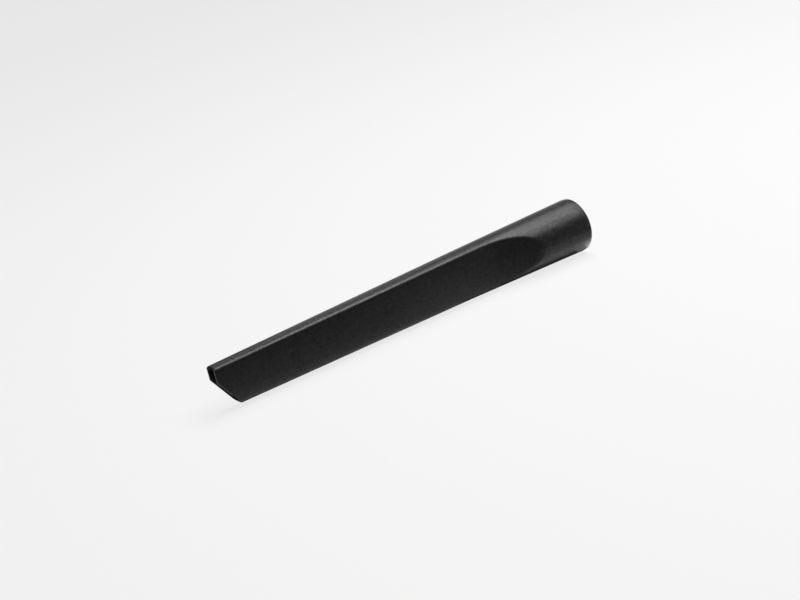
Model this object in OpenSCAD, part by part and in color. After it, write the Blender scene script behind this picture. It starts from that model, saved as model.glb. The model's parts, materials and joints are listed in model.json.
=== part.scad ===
// Crevice nozzle for a vacuum cleaner: one slender moulded cone with a flat down each
// side, open from the socket at one end to the slot-shaped mouth at the other.
// The origin is the centre of the socket's open rim. +X runs along the socket's axis,
// out of the socket, and +Z is up, from the mouth's swept edge to its square one.

/* [Socket] */
// Outside diameter of the socket at its open rim
socket_d = 36; // [35:0.5:50]
// Bore of the socket, which takes the end of the wand
bore_d = 32; // [28:0.5:32]
// Depth of the bore, from the rim to the stop
bore_depth = 32; // [20:1:34]
// Height of the step that stops the wand
stop_step = 1; // [0.6:0.1:2]
// Bevel round the outside of the rim
rim_bevel = 0.4; // [0.2:0.1:0.8]

/* [Barrel] */
// Overall length, from the rim to the mouth
length = 276; // [250:1:320]
// Length of the socket end, which is coaxial with the bore
neck_length = 94; // [85:1:120]
// Flare of the socket end, in degrees a side
neck_draft = 1; // [0.8:0.01:1.2]
// Taper of the blade, from the socket end to the mouth, in degrees a side
blade_draft = 0.82; // [0.7:0.01:1]
// Angle by which the blade droops from the socket's axis, in degrees
droop = 0.52; // [0:0.01:0.8]
// Wall thickness at the mouth
wall = 1.6; // [1.2:0.1:2]

/* [Flats] */
// Thickness of the nozzle across the flats, at the mouth
mouth_thickness = 10.3; // [9:0.1:12]
// Angle of each flat to the axis, in degrees
flat_draft = 0.68; // [0.3:0.01:0.8]
// Distance from the rim to where each flat starts to curve out of the barrel
run_out_start = 79; // [74:1:84]
// Radius of that curve
run_out_r = 80; // [70:1:90]

/* [Mouth] */
// Height of the stretch of the mouth that is cut square
square_cut = 9.5; // [6:0.5:14]
// Angle that the rest of the mouth is swept back from square, in degrees
sweep = 34; // [20:1:40]
// Radius of the mouth's top corner, seen from the side
top_corner_r = 2; // [0.5:0.1:3]
// Radius of the mouth's bottom corner, seen from the side
bottom_corner_r = 0.8; // [0.5:0.1:3]

/* [Ejector mark] */
// Diameter of the shallow dimple in one flat
mark_d = 4; // [3:0.5:6]
// Depth of the dimple
mark_depth = 0.3; // [0.1:0.1:0.5]
// Distance of the dimple from the mouth
mark_from_mouth = 51; // [40:1:80]
// Height of the dimple above the socket's axis
mark_z = 1.5; // [0:0.5:5]

/* [Hidden] */
$fn = 180;
over = 1; // how far a cut runs past the face it opens
corner_rise = 0.2; // how far the mouth's corner arcs stand clear of the barrel they cross
socket_r = socket_d / 2;
bore_r = bore_d / 2;
stop_r = bore_r - stop_step;
neck_r = socket_r - neck_length * tan(neck_draft);
mouth_r = neck_r - (length - neck_length) * tan(blade_draft);
mouth_drop = (length - neck_length) * tan(droop);
core_slope = (stop_r - mouth_r + wall) / (length - bore_depth);
flat_at_run_out = mouth_thickness / 2 + (length - run_out_start) * tan(flat_draft);
flat_at_mark = mouth_thickness / 2 + mark_from_mouth * tan(flat_draft);
mark_r = (pow(mark_d / 2, 2) + pow(mark_depth, 2)) / (2 * mark_depth);
square_end = mouth_r - mouth_drop - square_cut;
top_corner = [top_corner_r - length, mouth_r - mouth_drop + corner_rise - top_corner_r];
bottom_corner_z = bottom_corner_r - mouth_r - mouth_drop - corner_rise;
bottom_corner = [
    (bottom_corner_r - sin(sweep) * (bottom_corner_z - square_end)) / cos(sweep) - length,
    bottom_corner_z
];

// Turns an outline of [radius, x] points about the X axis
module turned(outline) {
    rotate([0, 90, 0]) rotate_extrude() polygon(outline);
}

// Lets the blade droop: each section slides down by its distance from the socket end
module drooped() {
    multmatrix([
        [1, 0, 0, 0],
        [0, 1, 0, 0],
        [tan(droop), 0, 1, tan(droop) * neck_length],
        [0, 0, 0, 1]
    ]) children();
}

// The barrel before the flats are cut, run past the mouth
module barrel() {
    turned([
        [0, -neck_length],
        [neck_r, -neck_length],
        [socket_r - rim_bevel * tan(neck_draft), -rim_bevel],
        [socket_r - rim_bevel, 0],
        [0, 0]
    ]);
    drooped() turned([
        [0, -length - over],
        [mouth_r - over * tan(blade_draft), -length - over],
        [neck_r, -neck_length],
        [0, -neck_length]
    ]);
}

// The round core that hollows the barrel, and the bore with its stop
module core() {
    core_neck_r = stop_r - (neck_length - bore_depth) * core_slope;
    turned([
        [0, -neck_length],
        [core_neck_r, -neck_length],
        [stop_r, -bore_depth],
        [bore_r, -bore_depth],
        [bore_r, over],
        [0, over]
    ]);
    drooped() turned([
        [0, -length - over],
        [mouth_r - wall - over * core_slope, -length - over],
        [core_neck_r, -neck_length],
        [0, -neck_length]
    ]);
}

// What lies outside both flats and their run-outs, moved in by inset
module beside_flats(inset) {
    for (side = [0, 1]) mirror([0, side, 0])
        translate([-run_out_start, flat_at_run_out, 0]) rotate([0, 0, flat_draft])
            linear_extrude(height = socket_d + 2 * over, center = true) {
                translate([0, run_out_r]) circle(r = run_out_r + inset);
                translate([-length, -inset]) square([length, run_out_r + inset]);
            }
}

// What the cut of the mouth keeps, seen from the side
module behind_mouth() {
    rotate([90, 0, 0]) linear_extrude(height = socket_d + 2 * over, center = true) {
        translate(top_corner) circle(r = top_corner_r);
        translate(bottom_corner) circle(r = bottom_corner_r);
        polygon([
            [top_corner[0], top_corner[1] + top_corner_r],
            [-length, top_corner[1]],
            [-length, square_end],
            bottom_corner - bottom_corner_r * [cos(sweep), sin(sweep)],
            [bottom_corner[0], bottom_corner[1] - bottom_corner_r],
            [over, -socket_d],
            [over, socket_d]
        ]);
    }
}

// The dimple that an ejector pin leaves in the flat on the -Y side
module ejector_mark() {
    translate([mark_from_mouth - length, mark_depth - flat_at_mark - mark_r, mark_z])
        sphere(r = mark_r);
}

module nozzle_body() {
    color([0.07, 0.07, 0.07]) difference() {
        intersection() {
            difference() {
                barrel();
                beside_flats(0);
            }
            behind_mouth();
        }
        difference() {
            core();
            beside_flats(wall);
        }
        ejector_mark();
    }
}

nozzle_body();
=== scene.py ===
"""The looks of the crevice nozzle: its one moulding, meshed with the real edge roundings,
in black plastic, on a pale floor under soft studio light."""

import json
import math

import bpy
import numpy as np
from mathutils import Matrix, Vector


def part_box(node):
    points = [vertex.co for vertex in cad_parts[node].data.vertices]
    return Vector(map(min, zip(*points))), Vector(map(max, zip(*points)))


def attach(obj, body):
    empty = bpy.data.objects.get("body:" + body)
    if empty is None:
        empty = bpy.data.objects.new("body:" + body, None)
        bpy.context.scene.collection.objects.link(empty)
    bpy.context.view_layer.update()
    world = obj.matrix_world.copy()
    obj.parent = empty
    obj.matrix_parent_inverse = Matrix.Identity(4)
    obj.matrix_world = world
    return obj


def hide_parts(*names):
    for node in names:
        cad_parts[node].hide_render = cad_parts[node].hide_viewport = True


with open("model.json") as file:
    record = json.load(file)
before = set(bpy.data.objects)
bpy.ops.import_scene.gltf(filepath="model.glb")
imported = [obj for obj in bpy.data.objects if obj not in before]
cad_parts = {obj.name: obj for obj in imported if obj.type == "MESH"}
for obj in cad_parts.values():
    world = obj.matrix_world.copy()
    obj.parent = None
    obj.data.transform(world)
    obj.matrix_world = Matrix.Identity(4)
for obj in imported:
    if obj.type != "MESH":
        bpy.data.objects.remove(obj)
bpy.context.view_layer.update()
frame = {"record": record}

MM = 0.001
LOW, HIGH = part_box("nozzle_body")

# Sizes that the frame gives
LENGTH = HIGH.x - LOW.x
SOCKET_R = HIGH.z
MOUNTS = {mount["name"]: mount for mount in frame["record"]["mounts"]}
BORE = MOUNTS["socket"]["dims"]
BORE_R = BORE["r_mm"] * MM
BORE_DEPTH = BORE["length_mm"] * MM

# The rest of the design, as part.scad has it
STOP_STEP = 1 * MM
NECK_LENGTH = 94 * MM
NECK_DRAFT = math.radians(1)
BLADE_DRAFT = math.radians(0.82)
DROOP = math.radians(0.52)
WALL = 1.6 * MM
MOUTH_THICKNESS = 10.3 * MM
FLAT_DRAFT = math.radians(0.68)
RUN_OUT_START = 79 * MM
RUN_OUT_R = 80 * MM
SQUARE_CUT = 9.5 * MM
SWEEP = math.radians(34)
TOP_CORNER_R = 2 * MM  # the mouth's top corner, seen from the side
MARK_FROM_MOUTH = 51 * MM
MARK_Z = 1.5 * MM
MARK_R = 2 * MM
MARK_DEPTH = 0.3 * MM

# Roundings of the edges that the CAD solid leaves sharp or bevelled
EDGE_R = 1.3 * MM  # along the flats and round their run-outs
CORE_EDGE_R = 0.7 * MM  # the same edges inside
LIP_R = 0.4 * MM  # outer edge of the mouth's lip
LIP_INNER_R = 0.3 * MM
RIM_R = 0.5 * MM
RIM_INNER_R = 0.4 * MM
STOP_EDGE_R = 0.25 * MM
MOUTH_BEND = 0.5 * MM  # how softly the mouth turns from its square part to its swept one
RIM_FALL = 0.35 * MM  # how far the barrel closes in towards its rim, over RIM_REACH
RIM_REACH = 4 * MM

# What follows from those
STOP_R = BORE_R - STOP_STEP
NECK_R = SOCKET_R - NECK_LENGTH * math.tan(NECK_DRAFT)
MOUTH_R = NECK_R - (LENGTH - NECK_LENGTH) * math.tan(BLADE_DRAFT)
CORE_MOUTH_R = MOUTH_R - WALL
FLAT_AT_RUN_OUT = MOUTH_THICKNESS / 2 + (LENGTH - RUN_OUT_START) * math.tan(FLAT_DRAFT)
MOUTH_TOP = MOUTH_R - (LENGTH - NECK_LENGTH) * math.tan(DROOP)
SQUARE_END = MOUTH_TOP - SQUARE_CUT

# The plastic: the sizes of its grain, the grain's depth, and the finish
GRAIN = 0.3 * MM
PIT = 0.8 * MM
MOTTLE = 2.4 * MM
CLOUD = 9 * MM
RELIEF = 0.1 * MM
RELIEF_ON_FLATS = 0.3  # the grain's depth on the flats, as a share of that on the barrel
SPREAD_ON_FLATS = 0.7  # how far the gloss varies on the flats, as a share of the same
ROUGHNESS = 0.4
PIT_SPREAD = 0.06  # how far the roughness goes either way, from pit to pit
CLOUD_SPREAD = 0.02  # and from cloud to cloud
BLACK = 0.006
BLACK_SPREAD = 0.25  # share by which the black goes either way
RUBBED = 0.003  # how much paler the plastic is along its worn edges
POLISHED = 0.05  # how much less rough it is there
RIM_WEAR = 0.3  # how worn the rim is, next to the edges of the flats and the mouth

FLOOR_GLOW = 0.78  # radiance of the floor and of the world behind it
FLOOR_GREY = 0.16  # colour of the floor, which dims the light that falls on it
FLOOR_HALF = 8  # half the floor's width
ROOM_GLOW = 0.065  # radiance of the room that the plastic reflects between the lights
CARD_THICKNESS = 0.6 * MM

# Points round a quarter of a section: across half a flat, round its edge, and over half
# of a narrow side
ON_FLAT, ON_EDGE, ON_CROWN = 24, 10, 10
EDGE_TURN = 0.13  # the furthest, in radians, that the points round an edge reach each way
FLATLESS_CORNER = math.radians(30)  # where those points go on a section that has no flat
LEAN_START = 20 * MM - LENGTH  # where the sections start to lean over to the mouth's cut
HALVINGS = 40  # steps that close in on a point of the surface
BEYOND = 1.3 * SOCKET_R  # a radius outside the whole body


def barrel_r(x):
    """Outside radius of the barrel."""
    closing = np.maximum(1 + x / RIM_REACH, 0)
    neck = SOCKET_R + x * math.tan(NECK_DRAFT) - RIM_FALL * closing**2
    blade = NECK_R + (x + NECK_LENGTH) * math.tan(BLADE_DRAFT)
    return np.where(x > -NECK_LENGTH, neck, blade)


def core_r(x):
    """Radius of the round core that hollows the barrel."""
    return CORE_MOUTH_R + (x + LENGTH) * (STOP_R - CORE_MOUTH_R) / (LENGTH - BORE_DEPTH)


def centre_z(x):
    """Height of a section's centre, which falls along the blade."""
    return np.minimum(x + NECK_LENGTH, 0) * math.tan(DROOP)


def inside_flat(x, y):
    """Distance from the nearer flat and its run-out, below zero inside the body."""
    cos, sin = math.cos(FLAT_DRAFT), math.sin(FLAT_DRAFT)
    dx, dy = x + RUN_OUT_START, np.abs(y) - FLAT_AT_RUN_OUT
    along, out = dx * cos + dy * sin, dy * cos - dx * sin
    run_out = RUN_OUT_R - np.hypot(along, out - RUN_OUT_R)
    return np.where(along < 0, out, run_out)


def rounded_max(a, b, r):
    """The larger of two distances, with the edge where they cross rounded off."""
    edge = np.hypot(np.maximum(a + r, 0), np.maximum(b + r, 0))
    return np.minimum(-r, np.maximum(a, b)) + edge


def outside(x, y, z):
    """Distance from the outer surface."""
    round_part = np.hypot(y, z - centre_z(x)) - barrel_r(x)
    return rounded_max(round_part, inside_flat(x, y), EDGE_R)


def hollow(x, y, z):
    """Distance from the surface of the hollow, below zero in the air."""
    round_part = np.hypot(y, z - centre_z(x)) - core_r(x)
    return rounded_max(round_part, inside_flat(x, y) + WALL, CORE_EDGE_R)


def mouth_x(z, behind):
    """The x at height z of the mouth's cut, or of the surface that far behind it."""
    square = np.full_like(z, behind - LENGTH)
    swept = (behind - math.sin(SWEEP) * (z - SQUARE_END)) / math.cos(SWEEP) - LENGTH
    near = np.maximum(MOUTH_BEND - np.abs(square - swept), 0)
    bend = near**2 / (4 * MOUTH_BEND)
    into_corner = np.clip(1 - (MOUTH_TOP - z) / TOP_CORNER_R, 0, 0.99)
    corner = TOP_CORNER_R * (1 - np.sqrt(1 - into_corner**2))
    return np.maximum(square, swept) + bend + corner


def angles(radius, half):
    """Angles of a section's points, drawn together round the edges of its flats."""
    reach = min(half / radius, math.cos(FLATLESS_CORNER))
    corner = math.acos(reach)
    near = EDGE_TURN * (1 - reach / 2)
    flat = np.arctan(np.linspace(0, 1, ON_FLAT, endpoint=False) * math.tan(corner - near))
    edge = np.linspace(corner - near, corner + near, ON_EDGE, endpoint=False)
    crown = np.linspace(corner + near, math.pi / 2, ON_CROWN, endpoint=False)
    quarter = np.concatenate([flat, edge, crown])
    half_turn = np.concatenate([quarter, [math.pi / 2], math.pi - quarter[:0:-1]])
    return np.concatenate([half_turn, half_turn + math.pi])


def ring(field, radius, x_at, level=0.0):
    """A ring of points where field is level, at the x that x_at gives for each height.

    It starts from the angles of a section of that radius, and halves each point's way out
    from the centre until it meets the surface."""
    middle = float(x_at(np.zeros(1))[0])
    half = FLAT_AT_RUN_OUT - inside_flat(middle, FLAT_AT_RUN_OUT)
    if field is hollow:
        half -= WALL
    turn = angles(float(radius(middle)), half)
    cos, sin = np.cos(turn), np.sin(turn)
    centre = float(centre_z(middle))
    low, high = np.zeros_like(turn), np.full_like(turn, BEYOND)
    for _ in range(HALVINGS):
        rho = (low + high) / 2
        y, z = rho * cos, centre + rho * sin
        within = field(x_at(z), y, z) < level
        low, high = np.where(within, rho, low), np.where(within, high, rho)
    return np.stack([x_at(z), y, z], 1)


def circle(x, radius):
    """A ring that is a plain circle, with its points where ring puts them."""
    turn = angles(radius, radius)
    return np.stack([np.full_like(turn, x), radius * np.cos(turn), radius * np.sin(turn)], 1)


def at(x):
    """A section straight across the axis."""
    return lambda z: np.full_like(z, x)


def towards_mouth(start, share, behind):
    """A section that leans from straight across at start to the mouth's cut, by share."""
    return lambda z: start + share * (mouth_x(z, behind) - start)


def quarter_turn(steps):
    """Sines and cosines from 0 to 90 degrees, for rounding an edge."""
    turn = np.linspace(0, math.pi / 2, steps + 1)
    return zip(np.sin(turn), np.cos(turn))


def outer_rings():
    """From the rim to the mouth's lip, closer by the rim, on the run-outs and on the mark."""
    run_out_end = -34 * MM
    run_out_start = 4 * MM - RUN_OUT_START
    mark_end = MARK_FROM_MOUTH + 3 * MM - LENGTH
    mark_start = MARK_FROM_MOUTH - 3 * MM - LENGTH
    stretches = [
        (-RIM_R, -RIM_REACH, 8),
        (-RIM_REACH, run_out_end, 14),
        (run_out_end, run_out_start, 60),
        (run_out_start, mark_end, 46),
        (mark_end, mark_start, 20),
        (mark_start, LEAN_START, 12),
    ]
    for first, last, steps in stretches:
        for x in np.linspace(first, last, steps, endpoint=False):
            yield ring(outside, barrel_r, at(x))
    for share in np.linspace(0, 1, 24, endpoint=False):
        yield ring(outside, barrel_r, towards_mouth(LEAN_START, share, LIP_R))
    for sin, cos in quarter_turn(6):
        behind = towards_mouth(0, 1, LIP_R * (1 - sin))
        yield ring(outside, barrel_r, behind, -LIP_R * (1 - cos))


def inner_rings():
    """From the mouth's lip to the stop."""
    stop_edge = -BORE_DEPTH - STOP_EDGE_R
    for sin, cos in quarter_turn(5):
        behind = towards_mouth(0, 1, LIP_INNER_R * (1 - cos))
        yield ring(hollow, core_r, behind, LIP_INNER_R * (1 - sin))
    for share in np.linspace(1, 0, 16, endpoint=False)[1:]:
        yield ring(hollow, core_r, towards_mouth(LEAN_START, share, LIP_INNER_R))
    for x in np.linspace(LEAN_START, -RUN_OUT_START, 40, endpoint=False):
        yield ring(hollow, core_r, at(x))
    for x in np.linspace(-RUN_OUT_START, stop_edge, 34, endpoint=False):
        yield ring(hollow, core_r, at(x))


def socket_rings():
    """The stop, the bore and the rim."""
    for sin, cos in quarter_turn(4):
        yield circle(-BORE_DEPTH - STOP_EDGE_R * (1 - sin), STOP_R + STOP_EDGE_R * (1 - cos))
    for sin, cos in quarter_turn(3):
        yield circle(-BORE_DEPTH + STOP_EDGE_R * (1 - cos), BORE_R - STOP_EDGE_R * (1 - sin))
    for x in np.linspace(1 * MM - BORE_DEPTH, -RIM_INNER_R, 12, endpoint=False):
        yield circle(x, BORE_R)
    for sin, cos in quarter_turn(5):
        yield circle(-RIM_INNER_R * (1 - sin), BORE_R + RIM_INNER_R * (1 - cos))
    rounded_from = float(barrel_r(-RIM_R))
    for sin, cos in list(quarter_turn(5))[:-1]:
        yield circle(-RIM_R * (1 - cos), rounded_from - RIM_R * (1 - sin))


def press_mark(points):
    """Sinks the ejector mark, a dimple that fades out, into the flat on the -Y side."""
    fade, reach = 2.2, 1.3
    away = np.hypot(points[:, 0] - MARK_FROM_MOUTH + LENGTH, points[:, 2] - MARK_Z) / MARK_R
    hit = (away < reach) & (points[:, 1] < 0)
    points[hit, 1] += MARK_DEPTH * np.exp(-fade * away[hit]**2)


def moulding():
    """The whole shell as one closed mesh: rings joined outside, round the lip and back."""
    outer = list(outer_rings())
    rings = outer + list(inner_rings()) + list(socket_rings())
    count, around = len(rings), len(rings[0])
    for points in outer:
        press_mark(points)
    index = np.arange(count * around).reshape(count, around)
    after, beside = np.roll(index, -1, 0), np.roll(index, -1, 1)
    both = np.roll(after, -1, 1)
    faces = np.stack([index, after, both, beside], -1).reshape(-1, 4)
    mesh = bpy.data.meshes.new("nozzle_shell")
    mesh.from_pydata(np.concatenate(rings).tolist(), [], faces.tolist())
    mesh.validate()
    mesh.polygons.foreach_set("use_smooth", [True] * len(mesh.polygons))
    mesh.update()
    shell = bpy.data.objects.new("nozzle_shell", mesh)
    bpy.context.scene.collection.objects.link(shell)
    return shell


def from_surfaces(x, y, z):
    """How far points are from the nearer flat, and from the round barrel."""
    from_barrel = np.hypot(y, z - centre_z(x)) - barrel_r(x)
    return np.abs(inside_flat(x, y)), np.abs(from_barrel)


def flat_share(x, y, z):
    """1 or more on the two flats and their run-outs, 0 or less on the rest of the barrel."""
    from_flat, from_barrel = from_surfaces(x, y, z)
    change = 0.6 * EDGE_R
    return (from_barrel - from_flat) / change + 0.5


def edge_share(x, y, z):
    """1 along the outer edges that handling rubs, less on the rim, 0 or less elsewhere."""
    along_flat = 1 - np.maximum(*from_surfaces(x, y, z)) / EDGE_R
    at_mouth = 1 - (x - mouth_x(z, 0)) / (2 * LIP_R)
    at_rim = RIM_WEAR * (1 + x / RIM_R)
    return np.maximum(along_flat, np.maximum(at_mouth, at_rim))


def mark_surface(shell):
    """Stores on each point, from 0 to 1, how far it belongs to a flat and to a worn edge."""
    mesh = shell.data
    points = np.empty(len(mesh.vertices) * 3)
    mesh.vertices.foreach_get("co", points)
    x, y, z = points.reshape(-1, 3).T
    for name, share in (("flat", flat_share), ("edge", edge_share)):
        values = np.clip(share(x, y, z), 0, 1).astype(np.float32)
        mesh.attributes.new(name, "FLOAT", "POINT").data.foreach_set("value", values)


class Graph:
    """Short ways to add and join the nodes of one material."""

    def __init__(self, mat):
        mat.use_nodes = True
        self.nodes, self.links = mat.node_tree.nodes, mat.node_tree.links
        self.shader = self.nodes["Principled BSDF"]
        self.place = self.nodes.new("ShaderNodeTexCoord").outputs["Object"]

    def put(self, socket, value):
        if isinstance(value, bpy.types.NodeSocket):
            self.links.new(value, socket)
        else:
            socket.default_value = value

    def noise(self, size, detail=2.0, roughness=0.5, stretch=None):
        """Noise with blotches about size metres across, longer on an axis with a low stretch."""
        node = self.nodes.new("ShaderNodeTexNoise")
        place = self.place
        if stretch:
            mapping = self.nodes.new("ShaderNodeMapping")
            mapping.inputs["Scale"].default_value = stretch
            self.links.new(place, mapping.inputs["Vector"])
            place = mapping.outputs["Vector"]
        self.links.new(place, node.inputs["Vector"])
        node.inputs["Scale"].default_value = 1 / size
        node.inputs["Detail"].default_value = detail
        node.inputs["Roughness"].default_value = roughness
        return node.outputs["Fac"]

    def maths(self, operation, a, b):
        node = self.nodes.new("ShaderNodeMath")
        node.operation = operation
        self.put(node.inputs[0], a)
        self.put(node.inputs[1], b)
        return node.outputs[0]

    def mix(self, a, share_a, b, share_b):
        """The sum of a and b, each times its share."""
        part_a = self.maths("MULTIPLY", a, share_a)
        part_b = self.maths("MULTIPLY", b, share_b)
        return self.maths("ADD", part_a, part_b)

    def ramp(self, value, low, high, to_low, to_high):
        """value from low to high, mapped on to_low to to_high."""
        node = self.nodes.new("ShaderNodeMapRange")
        for socket, part in zip(node.inputs, (value, low, high, to_low, to_high)):
            self.put(socket, part)
        return node.outputs[0]

    def attribute(self, name):
        node = self.nodes.new("ShaderNodeAttribute")
        node.attribute_name = name
        return node.outputs["Fac"]

    def grey(self, value):
        node = self.nodes.new("ShaderNodeCombineColor")
        for socket in node.inputs:
            self.put(socket, value)
        return node.outputs[0]

    def bump(self, height, depth, strength):
        """A bump of depth metres, times strength, where height goes from 0 to 1."""
        node = self.nodes.new("ShaderNodeBump")
        node.inputs["Distance"].default_value = depth
        self.put(node.inputs["Strength"], strength)
        self.links.new(height, node.inputs["Height"])
        return node.outputs["Normal"]


def black_plastic():
    """Black moulded plastic: spark-eroded grain, calmer on the flats, rubbed along its edges."""
    mat = bpy.data.materials.new("black_plastic")
    g = Graph(mat)
    flat, edge = g.attribute("flat"), g.attribute("edge")
    grain = g.noise(GRAIN, detail=3, roughness=0.6)
    pits = g.noise(PIT, detail=3, roughness=0.6)
    mottle = g.noise(MOTTLE, detail=2)
    clouds = g.noise(CLOUD, detail=2, stretch=(0.35, 1, 1))
    blotches = g.mix(pits, 0.45, mottle, 0.55)

    # The cavities of the texture send less light back, least so on the smoother flats
    spread = g.ramp(flat, 0, 1, 1.0, SPREAD_ON_FLATS)
    cavity = g.maths("MULTIPLY", g.maths("SUBTRACT", blotches, 0.5), spread)
    g.put(g.shader.inputs["Specular IOR Level"], g.maths("ADD", cavity, 0.5))

    rough = g.ramp(pits, 0.3, 0.7, ROUGHNESS - PIT_SPREAD, ROUGHNESS + PIT_SPREAD)
    rough = g.maths("ADD", rough, g.ramp(clouds, 0.3, 0.7, -CLOUD_SPREAD, CLOUD_SPREAD))
    rough = g.maths("SUBTRACT", rough, g.maths("MULTIPLY", edge, POLISHED))
    g.put(g.shader.inputs["Roughness"], rough)

    darkest, palest = BLACK * (1 - BLACK_SPREAD), BLACK * (1 + BLACK_SPREAD)
    tint = g.ramp(blotches, 0.25, 0.75, darkest, palest)
    tint = g.maths("ADD", tint, g.maths("MULTIPLY", edge, RUBBED))
    g.put(g.shader.inputs["Base Color"], g.grey(tint))

    relief = g.mix(grain, 0.35, pits, 0.65)
    calm = g.ramp(flat, 0, 1, 1.0, RELIEF_ON_FLATS)
    g.put(g.shader.inputs["Normal"], g.bump(relief, RELIEF, calm))
    return mat


def softbox(name, centre, across, along, radiance, lights_floor=False):
    """A rectangular light of an even radiance, which shines against across x along."""
    lamp = bpy.data.lights.new(name, "AREA")
    lamp.shape = "RECTANGLE"
    across, along = Vector(across), Vector(along)
    lamp.size, lamp.size_y = across.length, along.length
    lamp.energy = math.pi * lamp.size * lamp.size_y * radiance
    holder = bpy.data.objects.new(name, lamp)
    across.normalize()
    along.normalize()
    axes = Matrix((across, along, across.cross(along))).transposed().to_4x4()
    holder.matrix_world = Matrix.Translation(Vector(centre)) @ axes
    holder.visible_camera = False
    holder.visible_diffuse = lights_floor
    bpy.context.scene.collection.objects.link(holder)


def card(name, span_x, span_y, radiance):
    """A bounce card that lies just above the floor and faces up."""
    centre = (sum(span_x) / 2, sum(span_y) / 2, LOW.z + CARD_THICKNESS)
    across = (span_x[1] - span_x[0], 0, 0)
    along = (0, span_y[0] - span_y[1], 0)
    softbox(name, centre, across, along, radiance)


def floor():
    """A white sheet lit from below, as on a product table, which reflections leave out."""
    mesh = bpy.data.meshes.new("floor")
    corners = [(-1, -1), (1, -1), (1, 1), (-1, 1)]
    points = [(x * FLOOR_HALF, y * FLOOR_HALF, LOW.z) for x, y in corners]
    mesh.from_pydata(points, [], [(0, 1, 2, 3)])
    sheet = bpy.data.objects.new("floor", mesh)
    bpy.context.scene.collection.objects.link(sheet)
    paint = bpy.data.materials.new("floor_white")
    paint.use_nodes = True
    shader = paint.node_tree.nodes["Principled BSDF"]
    shader.inputs["Base Color"].default_value = (FLOOR_GREY, FLOOR_GREY, FLOOR_GREY, 1)
    shader.inputs["Roughness"].default_value = 1
    shader.inputs["Specular IOR Level"].default_value = 0
    shader.inputs["Emission Color"].default_value = (1, 1, 1, 1)
    shader.inputs["Emission Strength"].default_value = FLOOR_GLOW
    paint.cycles.emission_sampling = "NONE"
    mesh.materials.append(paint)
    sheet.visible_glossy = False


def softboxes():
    """The large lights, in metres. The key one alone lights the floor as well."""
    softbox("key", (0.35, -0.24, 1), (0.6, 0, 0), (0, 1.4, 0), 6.4, lights_floor=True)
    softbox("left_key", (-0.95, 0.1, 1), (0.8, 0, 0), (0, 1.2, 0), 4)
    softbox("right", (1.1, 0, 0.65), (0, 0.6, 0), (0, 0, 0.4), 5.5)
    softbox("back_high", (0, 1, 0.9), (-1, 0, 0), (0, -0.3, 0.5), 0.8)
    softbox("back_right", (0.6, 1.1, 0.25), (-0.6, 0.2, 0), (0, 0, 0.5), 0.8)


def cards():
    """What the plastic reflects in place of the floor, from the mouth's end to the rim's."""
    card("under_blade_card", (-0.29, -0.13), (-0.018, -0.006), 0.97)
    card("under_bend_card", (-0.13, -0.1), (-0.018, -0.007), 0.9)
    card("under_run_out_card", (-0.1, -0.07), (-0.018, -0.009), 0.8)
    card("under_barrel_card", (-0.07, -0.008), (-0.021, -0.012), 0.66)
    card("under_rim_card", (-0.008, 0), (-0.021, -0.009), 0.9)
    card("past_rim_card", (0, 0.06), (-0.018, -0.009), 2.8)
    near = (-0.06, -0.018)
    card("near_blade_card", (-0.45, -0.14), near, 0.27)
    card("near_bend_card", (-0.14, -0.11), near, 0.35)
    card("near_run_out_card", (-0.11, -0.07), near, 0.47)
    card("near_barrel_card", (-0.07, -0.03), near, 0.24)
    card("near_rim_card", (-0.03, 0.03), near, 0.6)
    card("behind_blade_card", (-0.4, -0.1), (0.012, 0.1), 0.53)
    card("behind_barrel_card", (-0.1, 0.1), (0.03, 0.15), 0.5)
    card("right_card", (0.25, 0.65), (-0.4, -0.12), 10)


def room():
    """A world as bright as the floor to the camera, and dim to everything else."""
    world = bpy.data.worlds.new("studio")
    world.use_nodes = True
    nodes, links = world.node_tree.nodes, world.node_tree.links
    seen = nodes.new("ShaderNodeLightPath").outputs["Is Camera Ray"]
    glow = nodes.new("ShaderNodeMapRange")
    glow.inputs["To Min"].default_value = ROOM_GLOW
    glow.inputs["To Max"].default_value = FLOOR_GLOW
    links.new(seen, glow.inputs["Value"])
    nodes["Background"].inputs["Color"].default_value = (1, 1, 1, 1)
    links.new(glow.outputs[0], nodes["Background"].inputs["Strength"])
    bpy.context.scene.world = world


def camera():
    """The camera at the photograph's angle, distance and roll."""
    azimuth, elevation, roll = (math.radians(a) for a in (-30.33, 18.12, 13.85))
    distance = 1.1
    aim = Vector((-0.14328, -0.00288, 0.00278))
    back = Vector((
        math.sin(azimuth) * math.cos(elevation),
        -math.cos(azimuth) * math.cos(elevation),
        math.sin(elevation),
    ))
    right = Vector((math.cos(azimuth), math.sin(azimuth), 0))
    up = back.cross(right)
    turned_right = math.cos(roll) * right - math.sin(roll) * up
    turned_up = math.sin(roll) * right + math.cos(roll) * up
    lens = bpy.data.cameras.new("camera")
    lens.sensor_width = 36
    lens.lens = 80.76
    holder = bpy.data.objects.new("camera", lens)
    axes = Matrix((turned_right, turned_up, back)).transposed().to_4x4()
    holder.matrix_world = Matrix.Translation(aim + distance * back) @ axes
    bpy.context.scene.collection.objects.link(holder)
    bpy.context.scene.camera = holder


shell = moulding()
mark_surface(shell)
shell.data.materials.append(black_plastic())
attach(shell, "root")
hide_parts("nozzle_body")
floor()
softboxes()
cards()
room()
camera()
bpy.context.scene.view_settings.view_transform = "Standard"
